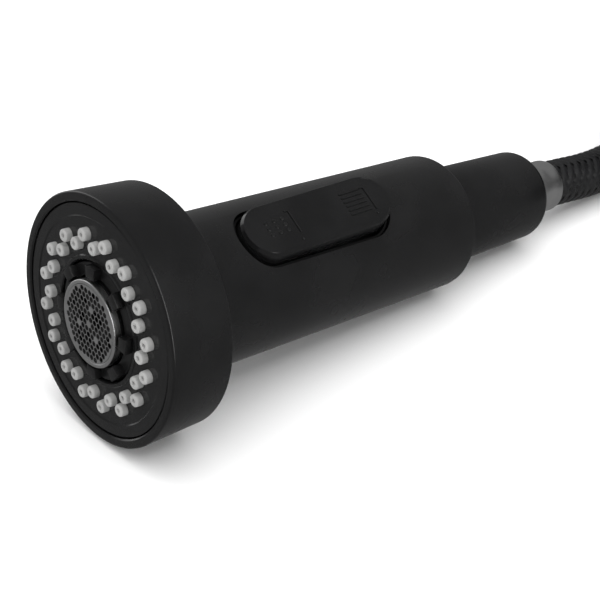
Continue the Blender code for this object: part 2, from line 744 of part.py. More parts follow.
def inlet_adapter():
    shoulder = from_end(-HANDLE_WALL - CLEAR)
    clip_low = from_end(CLIP_FRONT) - CLEAR
    clip_high = from_end(CLIP_FRONT + CLIP_THICK) + CLEAR
    outline = [
        (VALVE_CHAMBER_R, from_end(ADAPTER_FRONT)),
        (LAND_R, from_end(ADAPTER_FRONT)),
        (LAND_R, shoulder),
        (ADAPTER_NECK_R, shoulder),
        (ADAPTER_NECK_R, from_end(ADAPTER_REAR)),
        (SOCKET_R, from_end(ADAPTER_REAR)),
        (SOCKET_R, clip_high),
        (SOCKET_R + CLIP_DEPTH, clip_high),
        (SOCKET_R + CLIP_DEPTH, clip_low),
        (SOCKET_R, clip_low),
        (SOCKET_R, from_end(SOCKET_FRONT)),
        (SEAT_BORE_R, from_end(SOCKET_FRONT)),
        (SEAT_BORE_R, from_end(VALVE_CHAMBER_REAR)),
        (VALVE_CHAMBER_R, from_end(VALVE_CHAMBER_REAR)),
    ]
    as_piece(turned("inlet_adapter", outline, 24), "brass", tool_axis)


def check_valve():
    """Cage in the adapter's chamber, with poppet, spring and seat ring."""
    cage_r = VALVE_CHAMBER_R - CLEAR
    bore_r = VALVE_CHAMBER_R - 2.8 * MM
    rear = from_end(VALVE_CHAMBER_REAR) - CLEAR
    front = rear - 14.4 * MM
    wall = 2.0 * MM
    outline = [
        (STEM_R + 0.4 * MM, front),
        (cage_r, front),
        (cage_r, rear),
        (bore_r, rear),
        (bore_r, front + wall),
        (STEM_R + 0.4 * MM, front + wall),
    ]
    cage = turned("check_valve_cage", outline, SMALL_STEPS)
    as_piece(cage, "white_plastic", tool_axis)
    places = ring_places((bore_r + STEM_R + 0.4 * MM) / 2, 6, 0.0)
    holes = rods("cage_holes", 1.2 * MM, front - MM, front + wall + MM, places, 8)
    combine(cage, holes, "DIFFERENCE", tool_axis)

    seal_wire = 0.9 * MM
    seal_at = rear - seal_wire - SEAL_CLEAR
    seal = ring_seal("check_valve_seal", bore_r - seal_wire - CLEAR, seal_wire, seal_at)
    as_piece(seal, "rubber", tool_axis)

    disc_rear = seal_at - seal_wire - CLEAR
    disc_front = disc_rear - 2.4 * MM
    disc_r = bore_r - MM
    stem_front = front - 1.5 * MM
    poppet = [
        (0.0, stem_front),
        (STEM_R, stem_front),
        (STEM_R, disc_front),
        (disc_r, disc_front),
        (disc_r, disc_rear),
        (0.0, disc_rear),
    ]
    as_piece(turned("check_valve_poppet", poppet, 20), "white_plastic", tool_axis)

    low = front + wall + CLEAR + SPRING_WIRE_R
    high = disc_front - CLEAR - SPRING_WIRE_R
    count = 8 * SPRING_TURNS
    helix = [
        (
            SPRING_R * math.cos(math.pi * k / 4),
            SPRING_R * math.sin(math.pi * k / 4),
            low + (high - low) * k / count,
        )
        for k in range(count + 1)
    ]
    as_piece(tube("check_valve_spring", helix, SPRING_WIRE_R), "steel", tool_axis)


def inlet_filter():
    front = from_end(VALVE_CHAMBER_REAR) + 0.6 * MM
    rear = from_end(SOCKET_FRONT) - 0.2 * MM
    wall = 0.6 * MM
    cup_r = SEAT_BORE_R - CLEAR
    outline = [
        (0.0, front),
        (cup_r, front),
        (cup_r, rear),
        (cup_r - wall, rear),
        (cup_r - wall, front + wall),
        (0.0, front + wall),
    ]
    cup = as_piece(turned("inlet_filter", outline, 20), "white_plastic", tool_axis)
    places = ring_places(cup_r * 0.5, 6, 0.0)
    holes = rods("filter_holes", 0.6 * MM, front - MM, front + wall + MM, places, 6)
    combine(cup, holes, "DIFFERENCE", tool_axis)


def hose_tail():
    """Metal insert that turns in the adapter's socket; its barb is crimped in the ferrule."""
    head_front = from_end(SOCKET_FRONT) + 0.7 * MM
    head_rear = from_end(CLIP_FRONT) - 0.6 * MM
    head_r = SOCKET_R - 0.4 * MM
    seal_ring_r = SOCKET_R - TAIL_SEAL_R - SEAL_CLEAR
    seal_at = (head_front + head_rear) / 2
    seal_half = TAIL_SEAL_R + SEAL_CLEAR
    seal_floor = seal_ring_r - TAIL_SEAL_R - SEAL_CLEAR
    stop_rear = FERRULE_START - CLEAR
    stop_front = stop_rear - 2 * MM
    barb_end = FERRULE_END - 6 * MM
    barb_r = HOSE_R - 2.6 * MM
    barb = []
    for k in range(3):
        tooth = stop_rear + (barb_end - stop_rear) * (0.3 + 0.25 * k)
        barb += [(barb_r, tooth), (barb_r + 0.4 * MM, tooth), (barb_r, tooth + 2 * MM)]
    outline = [
        (TAIL_BORE_R, head_front),
        (head_r, head_front),
        (head_r, seal_at - seal_half),
        (seal_floor, seal_at - seal_half),
        (seal_floor, seal_at + seal_half),
        (head_r, seal_at + seal_half),
        (head_r, head_rear),
        (TAIL_NECK_R, head_rear),
        (TAIL_NECK_R, stop_front),
        (FERRULE_R - 0.8 * MM, stop_front),
        (FERRULE_R - 0.8 * MM, stop_rear),
        (barb_r, stop_rear),
        *barb,
        (barb_r, barb_end),
        (TAIL_BORE_R, barb_end),
    ]
    as_piece(turned("hose_tail", outline, SMALL_STEPS), "brass", tool_axis)
    seal = ring_seal("hose_o_ring", seal_ring_r, TAIL_SEAL_R, seal_at)
    as_piece(seal, "rubber", tool_axis)


def swivel_clip():
    low = from_end(CLIP_FRONT)
    high = low + CLIP_THICK
    inner_r = TAIL_NECK_R + CLEAR
    outer_r = SOCKET_R + CLIP_DEPTH - CLEAR
    outline = [(inner_r, low), (outer_r, low), (outer_r, high), (inner_r, high)]
    clip = as_piece(turned("swivel_clip", outline, SMALL_STEPS), "steel", tool_axis)
    gap = box("clip_gap", (0.0, -2 * MM, low - MM), (2 * outer_r, 2 * MM, high + MM))
    combine(clip, gap, "DIFFERENCE", tool_axis)


def crimped_sleeve(name, start, length, parent, matrix=None):
    """Ferrule about Z with two shallow crimp bands."""
    bore_r = HOSE_R - 1.9 * MM
    dip = 0.35 * MM
    outline = [(bore_r, 0.0), (FERRULE_R, 0.0)]
    for share in (0.45, 0.75):
        at = length * share
        outline += [
            (FERRULE_R, at - 1.5 * MM),
            (FERRULE_R - dip, at - 0.8 * MM),
            (FERRULE_R - dip, at + 0.8 * MM),
            (FERRULE_R, at + 1.5 * MM),
        ]
    outline += [(FERRULE_R, length - dip), (FERRULE_R - dip, length), (bore_r, length)]
    sleeve = turned(name, [(r, start + s) for r, s in outline], SMALL_STEPS)
    as_piece(sleeve, "satin_metal", parent)
    if matrix:
        sleeve.matrix_local = matrix


# Hose on the floor ------------------------------------------------------------------------------
# Positions here are (right, back, up) from the ferrule's mouth; up is from the floor.

LAYER_Z = [HANK_LIFT + HOSE_R + 2 * HOSE_R * k for k in range(HANK_LAYERS)]
HANK_MID_X = HANK_LEFT_X + HANK_FOLD_R
HANK_RIGHT_X = HANK_LEFT_X + 2 * HANK_FOLD_R
HANK_TOP = LAYER_Z[-1] + HOSE_R + 0.2 * MM
NOTCH_FLOOR = LAYER_Z[-2] + HOSE_R + CLEAR
END_Z = NOTCH_FLOOR + CLEAR + FERRULE_R


def hose_route(mouth_z):
    """Hand-chosen points of the stretch between the ferrule and the hank."""
    points = (
        (0.0, 0.0, mouth_z),
        (0.0, 0.010, mouth_z - 0.0014),
        (0.0, 0.021, mouth_z - 0.0030),
        (-0.0003, 0.032, 0.0079),
        (-0.0012, 0.044, 0.0077),
        (-0.0042, 0.057, 0.0078),
        (-0.0080, 0.069, 0.0080),
        (-0.0115, 0.080, 0.0081),
        (-0.0130, 0.092, 0.0081),
    )
    return [Vector(p) for p in points]


def smooth_line(points, spacing):
    """Points read from the Catmull-Rom curve through the given ones."""
    ends = [2 * points[0] - points[1], *points, 2 * points[-1] - points[-2]]
    fine = []
    for a, b, c, d in zip(ends, ends[1:], ends[2:], ends[3:]):
        for k in range(20):
            t = k / 20
            fine.append(
                0.5
                * (
                    2 * b
                    + (c - a) * t
                    + (2 * a - 5 * b + 4 * c - d) * t * t
                    + (3 * b - a - 3 * c + d) * t * t * t
                )
            )
    fine.append(points[-1])
    kept = [fine[0]]
    travelled = 0.0
    for before, after in zip(fine, fine[1:]):
        travelled += (after - before).length
        if travelled >= spacing:
            kept.append(after)
            travelled = 0.0
    return kept


def hose_tube(route):
    """Free stretch from the mouth to the hank; returns its last point and direction."""
    line = [p for p in smooth_line(route, HOSE_R) if p.y < TUBE_END]
    first = route[0] + (route[1] - route[0]).normalized() * CLEAR
    line[0] = first
    as_piece(tube("hose_tube", line, HOSE_R, 3), "braid", hose_floor)
    return line[-1], (line[-1] - line[-2]).normalized()


def racetrack(radius):
    """Outline of the hank at a distance from the line of its runs' middle."""
    points = []
    for start, back in ((0.0, HANK_START + HANK_RUN), (math.pi, HANK_START)):
        for k in range(17):
            a = start + math.pi * k / 16
            points.append((HANK_MID_X + radius * math.cos(a), back + radius * math.sin(a)))
    return points


def hose_hank(tube_end, heading):
    outer = racetrack(HANK_FOLD_R + HOSE_R)
    inner = racetrack(HANK_FOLD_R - HOSE_R)
    hank = as_piece(
        prism("hose_hank", [outer, inner], HANK_LIFT, HANK_TOP), "braid", hose_floor
    )
    across = Vector((heading.y, -heading.x, 0.0)).normalized()
    face = tube_end + heading * (CLEAR + HOSE_R * abs(heading.z))
    left, right = face - across * HOSE_R, face + across * HOSE_R
    lead = [
        (left.x, left.y),
        (right.x, right.y),
        (HANK_LEFT_X + HOSE_R, HANK_START),
        (HANK_LEFT_X - HOSE_R + 0.1 * MM, HANK_START),
    ]
    lead_in = prism("hank_lead_in", [lead], HANK_LIFT + 0.2 * MM, LAYER_Z[0] + HOSE_R)
    combine(hank, lead_in, "UNION", hose_floor)
    low = (HANK_MID_X, HANK_START - HANK_FOLD_R - 3 * HOSE_R, NOTCH_FLOOR)
    high = (HANK_RIGHT_X + 2 * HOSE_R, HANK_START + TOP_RUN_END, HANK_TOP + MM)
    combine(hank, box("top_layer_end", low, high), "DIFFERENCE", hose_floor)


def strap_loop(x, half, low, high, corner):
    """Upright rectangle with rounded corners, as (x, height)."""
    centers = [(x + half - corner, high - corner), (x - half + corner, high - corner)]
    centers += [(x - half + corner, low + corner), (x + half - corner, low + corner)]
    points = []
    for quarter, (across, level) in enumerate(centers):
        points += arc(across, level, corner, 90 * quarter, 90 * (quarter + 1), 3)
    return points


def hose_ties():
    """Two straps, each a loop round one of the hank's runs."""
    half = HOSE_R + CLEAR
    low, high = TIE_THICK, HANK_TOP + CLEAR
    place = Matrix.Translation((0.0, HANK_START + TIE_AT, 0.0)) @ Matrix.Rotation(math.pi / 2, 4, "X")
    for name, x in (("hose_tie_left", HANK_LEFT_X), ("hose_tie_right", HANK_RIGHT_X)):
        outer = strap_loop(x, half + TIE_THICK, low - TIE_THICK, high + TIE_THICK, TIE_CORNER_R)
        inner = strap_loop(x, half, low, high, TIE_CORNER_R - TIE_THICK)
        strap = prism(name, [outer, inner], -TIE_WIDTH / 2, TIE_WIDTH / 2)
        strap.data.transform(place)
        as_piece(strap, "rubber", hose_floor)


def hose_end():
    """Crimp sleeve and quick-connect spigot, lying on the hank's right run."""
    towards_front = Matrix.Rotation(math.pi / 2, 4, "X")
    at = Matrix.Translation((HANK_RIGHT_X, HANK_START + TOP_RUN_END - CLEAR, END_Z))
    lie = at @ towards_front
    crimped_sleeve("end_ferrule", 0.0, END_FERRULE_LENGTH, hose_floor, lie)
    start = END_FERRULE_LENGTH + CLEAR
    seal_wire = 0.9 * MM
    seal_stations = (start + 15 * MM, start + 21 * MM)
    seal_ring_r = SPIGOT_R - 0.6 * MM
    floor = seal_ring_r - seal_wire - SEAL_CLEAR
    half = seal_wire + SEAL_CLEAR
    outline = [
        (TAIL_BORE_R, start),
        (HOSE_R, start),
        (HOSE_R, start + 3 * MM),
        (SPIGOT_R, start + 3 * MM),
        (SPIGOT_R, start + 7 * MM),
        (SPIGOT_R - MM, start + 7 * MM),
        (SPIGOT_R - MM, start + 10 * MM),
        (SPIGOT_R, start + 10 * MM),
    ]
    for station in seal_stations:
        outline += [
            (SPIGOT_R, station - half),
            (floor, station - half),
            (floor, station + half),
            (SPIGOT_R, station + half),
        ]
    end = start + SPIGOT_LENGTH
    outline += [(SPIGOT_R, end - MM), (SPIGOT_R - MM, end), (TAIL_BORE_R, end)]
    spigot = as_piece(turned("end_spigot", outline, SMALL_STEPS), "brass", hose_floor)
    spigot.matrix_local = lie
    for number, station in enumerate(seal_stations, 1):
        seal = ring_seal(f"end_o_ring_{number}", seal_ring_r, seal_wire, station)
        as_piece(seal, "rubber", hose_floor)
        seal.matrix_local = lie


# Assembly ---------------------------------------------------------------------------------------


def lying_angle():
    """Tilt at which the bell's rear edge and the handle's rear edge both touch the floor."""
    rise = (BELL_R - BELL_TAPER - EDGE) - (HANDLE_R - HANDLE_EDGE_R)
    run = (HANDLE_END - HANDLE_EDGE_R) - (BELL_LENGTH - EDGE)
    return math.atan2(rise - (HANDLE_EDGE_R - EDGE), run)


def lay_down():
    """Turns the tool frame so that the head lies on the floor with the rocker rolled to one side."""
    tilt = lying_angle()
    axis = Vector((0.0, math.cos(tilt), -math.sin(tilt)))
    up = Vector((0.0, math.sin(tilt), math.cos(tilt)))
    side = Vector((1.0, 0.0, 0.0))
    roll = math.radians(ROCKER_ROLL)
    outward = up * math.cos(roll) + side * math.sin(roll)
    across = axis.cross(outward)
    tool_axis.matrix_world = Matrix((outward, across, axis)).transposed().to_4x4()


def world_box(objects):
    """Lowest and highest corners of the evaluated solids."""
    graph = bpy.context.evaluated_depsgraph_get()
    corners = []
    for obj in objects:
        evaluated = obj.evaluated_get(graph)
        mesh = evaluated.to_mesh()
        corners += [evaluated.matrix_world @ vertex.co for vertex in mesh.vertices]
        evaluated.to_mesh_clear()
    low = Vector(min(c[i] for c in corners) for i in range(3))
    high = Vector(max(c[i] for c in corners) for i in range(3))
    return low, high


def set_origin():
    """Moves the head so that the origin is at the middle of its footprint, on the floor."""
    bpy.context.view_layer.update()
    low, high = world_box([o for o in pieces.objects if o.type == "MESH"])
    tool_axis.location = (-(low.x + high.x) / 2, -(low.y + high.y) / 2, -low.z)
    bpy.context.view_layer.update()
    return tool_axis.matrix_world @ Vector((0.0, 0.0, FERRULE_END))


def settle_meshes():
    """Applies every modifier and shades round surfaces smooth."""
    graph = bpy.context.evaluated_depsgraph_get()
    made = {}
    for obj in pieces.objects:
        if obj.type == "MESH":
            made[obj] = bpy.data.meshes.new_from_object(obj.evaluated_get(graph))
    for obj, mesh in made.items():
        obj.modifiers.clear()
        obj.data = mesh
        mesh.shade_smooth()
        mesh.set_sharp_from_angle(angle=math.radians(30))


def build_head():
    outer_shell()
    rear_collar()
    face_plate()
    nozzle_mat()
    spray_plate()
    chamber_seal()
    aerator_housing()
    aerator_ring()
    aerator_screen()
    aerator_core()
    aerator_gasket()
    diverter_body()
    rocker_seal()
    rocker_group()
    diverter_spool()
    inlet_adapter()
    check_valve()
    inlet_filter()
    hose_tail()
    swivel_clip()
    crimped_sleeve("hose_ferrule", FERRULE_START, FERRULE_END - FERRULE_START, tool_axis)


def build_hose(mouth):
    hose_floor.location = (mouth.x, mouth.y, 0.0)
    tube_end, heading = hose_tube(hose_route(mouth.z))
    hose_hank(tube_end, heading)
    hose_ties()
    hose_end()


lay_down()
build_head()
build_hose(set_origin())
bpy.context.view_layer.update()
settle_meshes()
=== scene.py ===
"""Looks of the pull-down spray head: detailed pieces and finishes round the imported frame."""

import json
import math

import bmesh
import bpy
import numpy as np
from mathutils import Matrix, Vector


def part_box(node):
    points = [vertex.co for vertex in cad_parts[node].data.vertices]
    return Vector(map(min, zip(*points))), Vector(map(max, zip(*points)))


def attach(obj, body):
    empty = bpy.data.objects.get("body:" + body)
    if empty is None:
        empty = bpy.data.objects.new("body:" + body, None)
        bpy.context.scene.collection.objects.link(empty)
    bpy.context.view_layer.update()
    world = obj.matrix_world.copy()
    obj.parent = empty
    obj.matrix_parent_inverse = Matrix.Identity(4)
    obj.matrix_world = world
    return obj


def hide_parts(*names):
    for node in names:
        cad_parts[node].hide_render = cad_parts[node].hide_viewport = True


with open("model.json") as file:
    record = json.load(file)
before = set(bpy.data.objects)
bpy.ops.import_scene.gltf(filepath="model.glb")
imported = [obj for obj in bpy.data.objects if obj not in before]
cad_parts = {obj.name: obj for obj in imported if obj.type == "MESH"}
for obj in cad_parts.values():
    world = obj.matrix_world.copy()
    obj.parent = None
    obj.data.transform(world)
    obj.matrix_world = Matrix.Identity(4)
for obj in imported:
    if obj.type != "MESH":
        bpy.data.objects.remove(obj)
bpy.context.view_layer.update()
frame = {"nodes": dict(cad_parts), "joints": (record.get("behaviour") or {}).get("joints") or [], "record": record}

MM = 0.001
JOINTS = {joint["name"]: joint for joint in frame["joints"]}


# The head's own frame: Z along its axis from the front of the bell, X out through the rocker ------


def tool_matrix():
    axis = Vector(JOINTS["swivel"]["axis"]).normalized()
    across = -Vector(JOINTS["rocker_tip"]["axis"]).normalized()
    outward = across.cross(axis)
    start = Vector(JOINTS["swivel"]["pos_m"])
    shell_points = frame["nodes"]["outer_shell"].data.vertices
    front = min((vertex.co - start).dot(axis) for vertex in shell_points)
    turn = Matrix((outward, across, axis)).transposed().to_4x4()
    return Matrix.Translation(start + axis * front) @ turn


TOOL = tool_matrix()
TO_TOOL = TOOL.inverted()


def reach(node):
    """(first station, last station, largest radius) of a CAD node in the head's frame."""
    points = [TO_TOOL @ vertex.co for vertex in frame["nodes"][node].data.vertices]
    stations = [p.z for p in points]
    return min(stations), max(stations), max(math.hypot(p.x, p.y) for p in points)


FRONT, HANDLE_END, BELL_R = reach("outer_shell")
BELL_LENGTH = 15.0 * MM
HANDLE_R = 17.75 * MM
COLLAR_FRONT, COLLAR_END, COLLAR_R = reach("rear_collar")
FACE_STATION, _, FACE_R = reach("face_plate")
NOZZLE_TIP, NOZZLE_REAR, MAT_R = reach("nozzle_mat")
HOUSING_TOP, HOUSING_REAR, HOUSING_R = reach("aerator_housing")
AERATOR_FRONT, AERATOR_REAR, AERATOR_R = reach("aerator_ring")
SCREEN_FRONT, SCREEN_REAR, SCREEN_R = reach("aerator_screen")
FERRULE_START, FERRULE_END, FERRULE_R = reach("hose_ferrule")
PIN = TO_TOOL @ Vector(JOINTS["rocker_tip"]["pos_m"])
ROCKER_TILT = math.radians(JOINTS["rocker_tip"]["range_deg"][1] / 2)
ROCKER = TOOL @ Matrix.Translation(PIN) @ Matrix.Rotation(ROCKER_TILT, 4, "Y")
ROCKER_LEVELS = (15.6 * MM, 20.5 * MM)
WINDOW = (7.7 * MM, 22.55 * MM)
SEAL_OUTSIDE = (7.4 * MM, 22.25 * MM)
SEAL_INSIDE = (6.85 * MM, 21.7 * MM)
NOZZLE_R = 1.42 * MM
NOZZLES = [(16.8 * MM, 13.0 + 22.5 * k) for k in range(16)]
NOZZLES += [(18.9 * MM, 1.8 + 22.5 * k) for k in range(16)]
HOSE_R = 7.0 * MM


# Shapes -------------------------------------------------------------------------------------------


def from_faces(name, points, faces, sharp=35):
    mesh = bpy.data.meshes.new(name)
    mesh.from_pydata([tuple(p) for p in points], [], [tuple(f) for f in faces])
    shape = bmesh.new()
    shape.from_mesh(mesh)
    bmesh.ops.recalc_face_normals(shape, faces=shape.faces)
    shape.to_mesh(mesh)
    shape.free()
    return as_object(name, mesh, sharp)


def as_object(name, mesh, sharp=35):
    mesh.shade_smooth()
    mesh.set_sharp_from_angle(angle=math.radians(sharp))
    obj = bpy.data.objects.new(name, mesh)
    bpy.context.scene.collection.objects.link(obj)
    return obj


def arc(center_r, center_s, radius, start, end, count=6):
    turn = [math.radians(start + (end - start) * k / count) for k in range(count + 1)]
    return [(center_r + radius * math.cos(a), center_s + radius * math.sin(a)) for a in turn]


def turned(name, outline, steps=160, dent=None):
    """Ring-shaped solid of revolution from a closed outline of (radius, station)."""
    outline = np.array(outline)
    turn = np.arange(steps) * 2 * math.pi / steps
    r = np.repeat(outline[None, :, 0], steps, axis=0)
    s = np.repeat(outline[None, :, 1], steps, axis=0)
    if dent:
        r = r - dent(turn[:, None], s, r)
    points = np.stack([r * np.cos(turn)[:, None], r * np.sin(turn)[:, None], s], axis=-1)
    count = len(outline)
    faces = []
    for k in range(steps):
        a, b = k * count, (k + 1) % steps * count
        for i in range(count):
            j = (i + 1) % count
            faces.append((a + i, b + i, b + j, a + j))
    return from_faces(name, points.reshape(-1, 3), faces)


def stadium(half_length, half_width, center=0.0, arc_count=24):
    """Outline (across, along) with round ends."""
    points = []
    for side, start in ((1, 0.0), (-1, math.pi)):
        for k in range(arc_count + 1):
            a = start + math.pi * k / arc_count
            along = center + side * (half_length - half_width) + half_width * math.sin(a)
            points.append((half_width * math.cos(a), along))
    return points


def stacked(name, rings):
    """Closed solid through rings of (x, y, z) points, with flat ends."""
    count = len(rings[0])
    points = [p for ring in rings for p in ring]
    faces = [tuple(range(count)), tuple(reversed(range(len(points) - count, len(points))))]
    for k in range(len(rings) - 1):
        for i in range(count):
            j = (i + 1) % count
            a, b = k * count, (k + 1) * count
            faces.append((a + i, a + j, b + j, b + i))
    return from_faces(name, points, faces, 40)


def on_tool(across, along, height):
    """(height, across, along) is the head's own (x, y, z)."""
    return (height, across, along)


def cut(obj, cutter, operation="DIFFERENCE", sharp=35):
    change = obj.modifiers.new(operation.lower(), "BOOLEAN")
    change.operation = operation
    change.object = cutter
    graph = bpy.context.evaluated_depsgraph_get()
    mesh = bpy.data.meshes.new_from_object(obj.evaluated_get(graph))
    obj.modifiers.clear()
    obj.data = mesh
    bpy.data.objects.remove(cutter)
    mesh.set_sharp_from_angle(angle=math.radians(sharp))
    return obj


def prism(name, outlines, low, high):
    """Flat outline with holes, from z = low to high."""
    curve = bpy.data.curves.new(name, "CURVE")
    curve.dimensions = "2D"
    curve.fill_mode = "BOTH"
    curve.extrude = (high - low) / 2
    for outline in outlines:
        spline = curve.splines.new("POLY")
        spline.points.add(len(outline) - 1)
        for point, (x, y) in zip(spline.points, outline):
            point.co = (x, y, 0.0, 1.0)
        spline.use_cyclic_u = True
    holder = bpy.data.objects.new(name + "_curve", curve)
    bpy.context.scene.collection.objects.link(holder)
    graph = bpy.context.evaluated_depsgraph_get()
    mesh = bpy.data.meshes.new_from_object(holder.evaluated_get(graph))
    bpy.data.objects.remove(holder)
    shape = bmesh.new()
    shape.from_mesh(mesh)
    bmesh.ops.remove_doubles(shape, verts=shape.verts, dist=0.000002)
    bmesh.ops.recalc_face_normals(shape, faces=shape.faces)
    shape.to_mesh(mesh)
    shape.free()
    mesh.transform(Matrix.Translation((0.0, 0.0, (low + high) / 2)))
    return as_object(name, mesh)


def join(name, objects):
    """One mesh object from several."""
    shape = bmesh.new()
    for obj in objects:
        shape.from_mesh(obj.data)
        bpy.data.objects.remove(obj)
    mesh = bpy.data.meshes.new(name)
    shape.to_mesh(mesh)
    shape.free()
    return as_object(name, mesh)


def place(obj, matrix, body, finish, nodes=()):
    """Puts a piece where it belongs, with its finish, its body and the CAD nodes it stands for."""
    obj.data.transform(matrix)
    obj.data.materials.clear()
    obj.data.materials.append(FINISHES[finish])
    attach(obj, body)
    if nodes:
        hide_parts(*nodes)
    return obj


# Finishes -----------------------------------------------------------------------------------------


def finish_material(name, color, roughness, metallic=0.0, grain=1500.0, bump=0.03, spread=0.06,
                    tone=0.25, specular=0.5):
    """Principled finish whose colour, roughness and fine relief vary with noise over the piece."""
    material = bpy.data.materials.new(name)
    material.use_nodes = True
    nodes, links = material.node_tree.nodes, material.node_tree.links
    shader = nodes["Principled BSDF"]
    shader.inputs["Metallic"].default_value = metallic
    shader.inputs["Specular IOR Level"].default_value = specular
    where = nodes.new("ShaderNodeTexCoord")

    def noise(scale, detail):
        node = nodes.new("ShaderNodeTexNoise")
        node.inputs["Scale"].default_value = scale
        node.inputs["Detail"].default_value = detail
        links.new(where.outputs["Object"], node.inputs["Vector"])
        return node

    cloudy = noise(grain / 18, 3.0)
    fine = noise(grain, 4.0)
    colors = nodes.new("ShaderNodeValToRGB")
    colors.color_ramp.elements[0].position = 0.3
    colors.color_ramp.elements[1].position = 0.7
    colors.color_ramp.elements[0].color = (*[c * (1 - tone) for c in color], 1.0)
    colors.color_ramp.elements[1].color = (*[min(c * (1 + tone), 1.0) for c in color], 1.0)
    links.new(cloudy.outputs["Fac"], colors.inputs["Fac"])
    links.new(colors.outputs["Color"], shader.inputs["Base Color"])
    rough = nodes.new("ShaderNodeMapRange")
    rough.inputs["From Min"].default_value = 0.3
    rough.inputs["From Max"].default_value = 0.7
    rough.inputs["To Min"].default_value = max(roughness - spread, 0.02)
    rough.inputs["To Max"].default_value = roughness + spread
    links.new(cloudy.outputs["Fac"], rough.inputs["Value"])
    links.new(rough.outputs["Result"], shader.inputs["Roughness"])
    relief = nodes.new("ShaderNodeBump")
    relief.inputs["Strength"].default_value = bump
    relief.inputs["Distance"].default_value = 0.0001
    links.new(fine.outputs["Fac"], relief.inputs["Height"])
    links.new(relief.outputs["Normal"], shader.inputs["Normal"])
    return material


DARK = (0.006, 0.006, 0.0062)
FINISHES = {
    "satin_black": finish_material("satin_black_paint", DARK, 0.27, bump=0.05, spread=0.02),
    "gloss_black": finish_material(
        "gloss_black_plastic", (0.006, 0.006, 0.0062), 0.16, bump=0.01, spread=0.04
    ),
    "black_plastic": finish_material("moulded_black", DARK, 0.34, grain=2600.0, bump=0.1),
    "grey_silicone": finish_material(
        "grey_silicone", (0.36, 0.36, 0.355), 0.5, grain=2200.0, bump=0.15, tone=0.06
    ),
    "white_plastic": finish_material(
        "white_moulding", (0.72, 0.72, 0.7), 0.42, grain=1800.0, bump=0.08, tone=0.03
    ),
    "blue_plastic": finish_material(
        "blue_moulding", (0.08, 0.2, 0.5), 0.4, grain=1800.0, bump=0.08, tone=0.08
    ),
    "satin_metal": finish_material("satin_metal", (0.72, 0.72, 0.72), 0.32, 1.0, 2400.0, 0.12, tone=0.08),
    "steel": finish_material("spring_steel", (0.5, 0.5, 0.51), 0.25, 1.0, 2400.0, 0.08, tone=0.06),
    "brass": finish_material("machined_brass", (0.66, 0.46, 0.2), 0.27, 1.0, 2000.0, 0.08, tone=0.1),
    "rubber": finish_material(
        "black_rubber", (0.003, 0.003, 0.003), 0.6, grain=2600.0, bump=0.15, specular=0.2
    ),
    "braid": finish_material(
        "braided_nylon", (0.01, 0.01, 0.0105), 0.32, grain=3800.0, bump=0.35, spread=0.1
    ),
}


# Camera -------------------------------------------------------------------------------------------


def make_camera():
    camera = bpy.data.objects.new("camera", bpy.data.cameras.new("camera"))
    bpy.context.scene.collection.objects.link(camera)
    camera.data.lens = 64.5
    camera.data.sensor_width = 36.0
    camera.data.clip_start = 0.01
    camera.location = TOOL.translation + Vector((0.16802, -0.09584, 0.11651))
    camera.rotation_euler = (math.radians(59.51), 0.0, math.radians(47.61))
    bpy.context.scene.camera = camera


# Hose ---------------------------------------------------------------------------------------------
# Positions are (right, back, up) from the ferrule's mouth; up is from the floor.

HANK_FOLD_R = 43.5 * MM
HANK_RUN = 122.0 * MM
HANK_LEFT_X = -13.0 * MM
HANK_START = 87.0 * MM
HANK_LIFT = 1.1 * MM
TOP_RUN_END = 50.5 * MM
TIE_AT = 85.0 * MM
TIE_WIDTH = 10.0 * MM
TIE_THICK = 0.8 * MM
HANK_RIGHT_X = HANK_LEFT_X + 2 * HANK_FOLD_R
HANK_MID_X = HANK_LEFT_X + HANK_FOLD_R
LAYERS = [HANK_LIFT + HOSE_R + 2 * HOSE_R * k for k in range(3)]


def mouth():
    return TOOL @ Vector((0.0, 0.0, FERRULE_END))


def hose_route():
    """Route of the whole hose: free stretch, then three stacked layers of the hank."""
    start = mouth()
    points = [
        (0.0, 0.0, start.z),
        (0.0, 0.010, start.z - 0.0014),
        (0.0, 0.021, start.z - 0.0030),
        (-0.0003, 0.032, 0.0079),
        (-0.0012, 0.044, 0.0077),
        (-0.0042, 0.057, 0.0078),
        (-0.0080, 0.069, 0.0080),
        (-0.0115, 0.080, 0.0081),
    ]
    near, far = HANK_START, HANK_START + HANK_RUN
    for layer, level in enumerate(LAYERS):
        for k in range(5):
            points.append((HANK_LEFT_X, near + 0.006 + (HANK_RUN - 0.012) * k / 4, level))
        for k in range(9):
            a = math.pi * (1 - k / 8)
            x, y = HANK_FOLD_R * math.cos(a), HANK_FOLD_R * math.sin(a)
            points.append((HANK_MID_X + x, far + y, level))
        if layer == 2:
            for k in range(1, 4):
                points.append((HANK_RIGHT_X, far + (near + TOP_RUN_END - far) * k / 3, level))
            break
        for k in range(5):
            points.append((HANK_RIGHT_X, far - 0.006 - (HANK_RUN - 0.012) * k / 4, level))
        for k in range(9):
            a = math.pi * k / 8
            share = min((k + 0.2) / 6.4, 1.0)
            rise = 2 * HOSE_R * share * share * (3 - 2 * share)
            x, y = HANK_FOLD_R * math.cos(a), -HANK_FOLD_R * math.sin(a)
            points.append((HANK_MID_X + x, near + y, level + rise))
    offset = Vector((start.x, start.y, 0.0))
    return [offset + Vector(p) for p in points]


